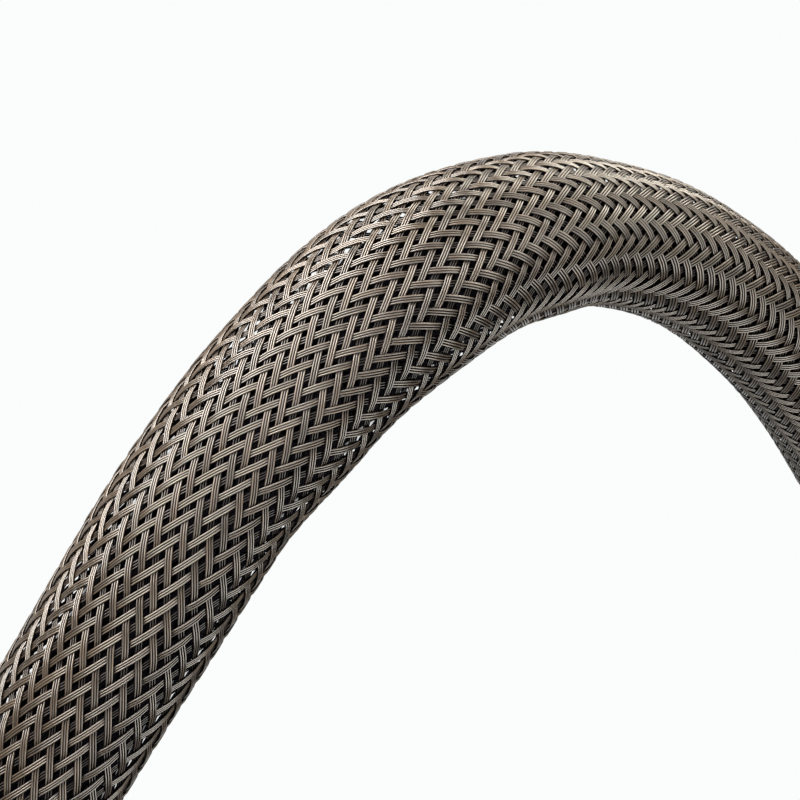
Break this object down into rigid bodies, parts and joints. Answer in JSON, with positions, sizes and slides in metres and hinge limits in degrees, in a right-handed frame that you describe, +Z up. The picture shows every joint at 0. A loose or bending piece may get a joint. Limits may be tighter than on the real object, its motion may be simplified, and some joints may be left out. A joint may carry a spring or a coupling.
{
  "type": "braided cable sleeve",
  "caption": "Open-ended braided sleeve of grey-brown monofilament that bundles and protects cables, lying flat in loose bends.",
  "frame": {"origin": "middle of the part's box on the floor that it lies on", "axes": "+X along the longest side of the box and along the straight run to the first cut end, +Y along the box's other side, +Z up from the floor"},
  "size_m": [0.3608, 0.3178, 0.0215],
  "materials": {
    "braid": "extruded monofilament with a soft shine, braided in groups of parallel filaments"
  },
  "bodies": {
    "root": {"braided_sleeve": "braid"}
  },
  "joints": []
}
